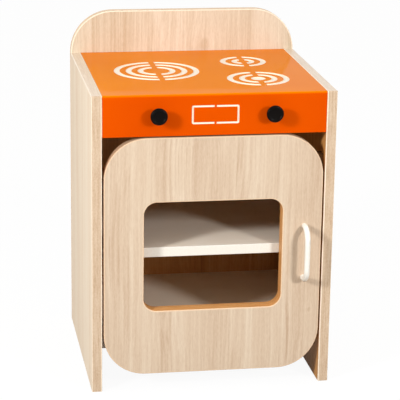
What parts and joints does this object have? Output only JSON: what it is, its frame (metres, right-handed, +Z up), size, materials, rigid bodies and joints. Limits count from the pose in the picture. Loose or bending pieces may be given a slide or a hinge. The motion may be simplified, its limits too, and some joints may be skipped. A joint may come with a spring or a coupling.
{
  "type": "toy oven",
  "caption": "Free-standing toy oven cabinet with a stencil-cut hob, turning knobs and a hinged windowed door over a shelf.",
  "frame": {"origin": "middle of the box's base, on the surface it stands on", "axes": "+Z up; the door and knobs face -Y; +X is to the right of someone facing the door"},
  "size_m": [0.43, 0.423, 0.619],
  "materials": {
    "oak_board": "satin",
    "oak_band": "satin",
    "window_band": "satin",
    "white_board": "satin",
    "white_band": "satin",
    "orange_sheet": "gloss",
    "dowel_wood": "matte",
    "black_plastic": "gloss",
    "white_handle": "gloss",
    "bush_nylon": "satin",
    "catch_plastic": "satin",
    "magnet": "matte",
    "nickel": "satin",
    "steel": "satin"
  },
  "bodies": {
    "cabinet": {"side_panel_left": "oak_board", "side_panel_right": "oak_board", "side_front_band_left": "oak_band", "side_front_band_right": "oak_band", "side_top_band_left": "oak_band", "side_top_band_right": "oak_band", "back_panel": "oak_board", "back_band": "oak_band", "oven_floor": "white_board", "oven_floor_band": "white_band", "shelf": "white_board", "shelf_band": "white_band", "shelf_pins": "steel", "top_board": "white_board", "front_rail": "white_board", "hob_sheet": "orange_sheet", "floor_dowels": "dowel_wood", "top_dowels": "dowel_wood", "rail_dowels": "dowel_wood", "back_screws": "steel", "knob_bush_left": "bush_nylon", "knob_bush_right": "bush_nylon", "hinge_arm_lower": "nickel", "hinge_arm_upper": "nickel", "hinge_plate_lower": "nickel", "hinge_plate_upper": "nickel", "hinge_plate_screws_lower": "steel", "hinge_plate_screws_upper": "steel", "hinge_arm_screw_lower": "steel", "hinge_arm_screw_upper": "steel", "catch_body": "catch_plastic", "catch_magnet": "magnet", "catch_screws": "steel"},
    "door": {"door_panel": "oak_board", "door_band": "oak_band", "window_band": "window_band", "window_frame": "window_band", "handle": "white_handle", "handle_screws": "steel", "hinge_cup_lower": "nickel", "hinge_cup_upper": "nickel", "hinge_cup_screws_lower": "steel", "hinge_cup_screws_upper": "steel", "hinge_pin_lower": "steel", "hinge_pin_upper": "steel", "strike_plate": "steel", "strike_screw": "steel"},
    "knob_left": {"knob_left": "black_plastic", "knob_spindle_left": "steel", "knob_washer_left": "steel", "knob_screw_left": "steel"},
    "knob_right": {"knob_right": "black_plastic", "knob_spindle_right": "steel", "knob_washer_right": "steel", "knob_screw_right": "steel"}
  },
  "joints": [
    {"name": "door_swing", "type": "hinge", "parent": "cabinet", "child": "door", "pos_m": [-0.181, -0.1685, 0.247], "axis": [0, 0, -1], "range_deg": [0, 95]},
    {"name": "knob_left_turn", "type": "hinge", "parent": "cabinet", "child": "knob_left", "pos_m": [-0.101, -0.1765, 0.506], "axis": [0, 1, 0], "continuous": true},
    {"name": "knob_right_turn", "type": "hinge", "parent": "cabinet", "child": "knob_right", "pos_m": [0.101, -0.1765, 0.506], "axis": [0, 1, 0], "continuous": true}
  ]
}
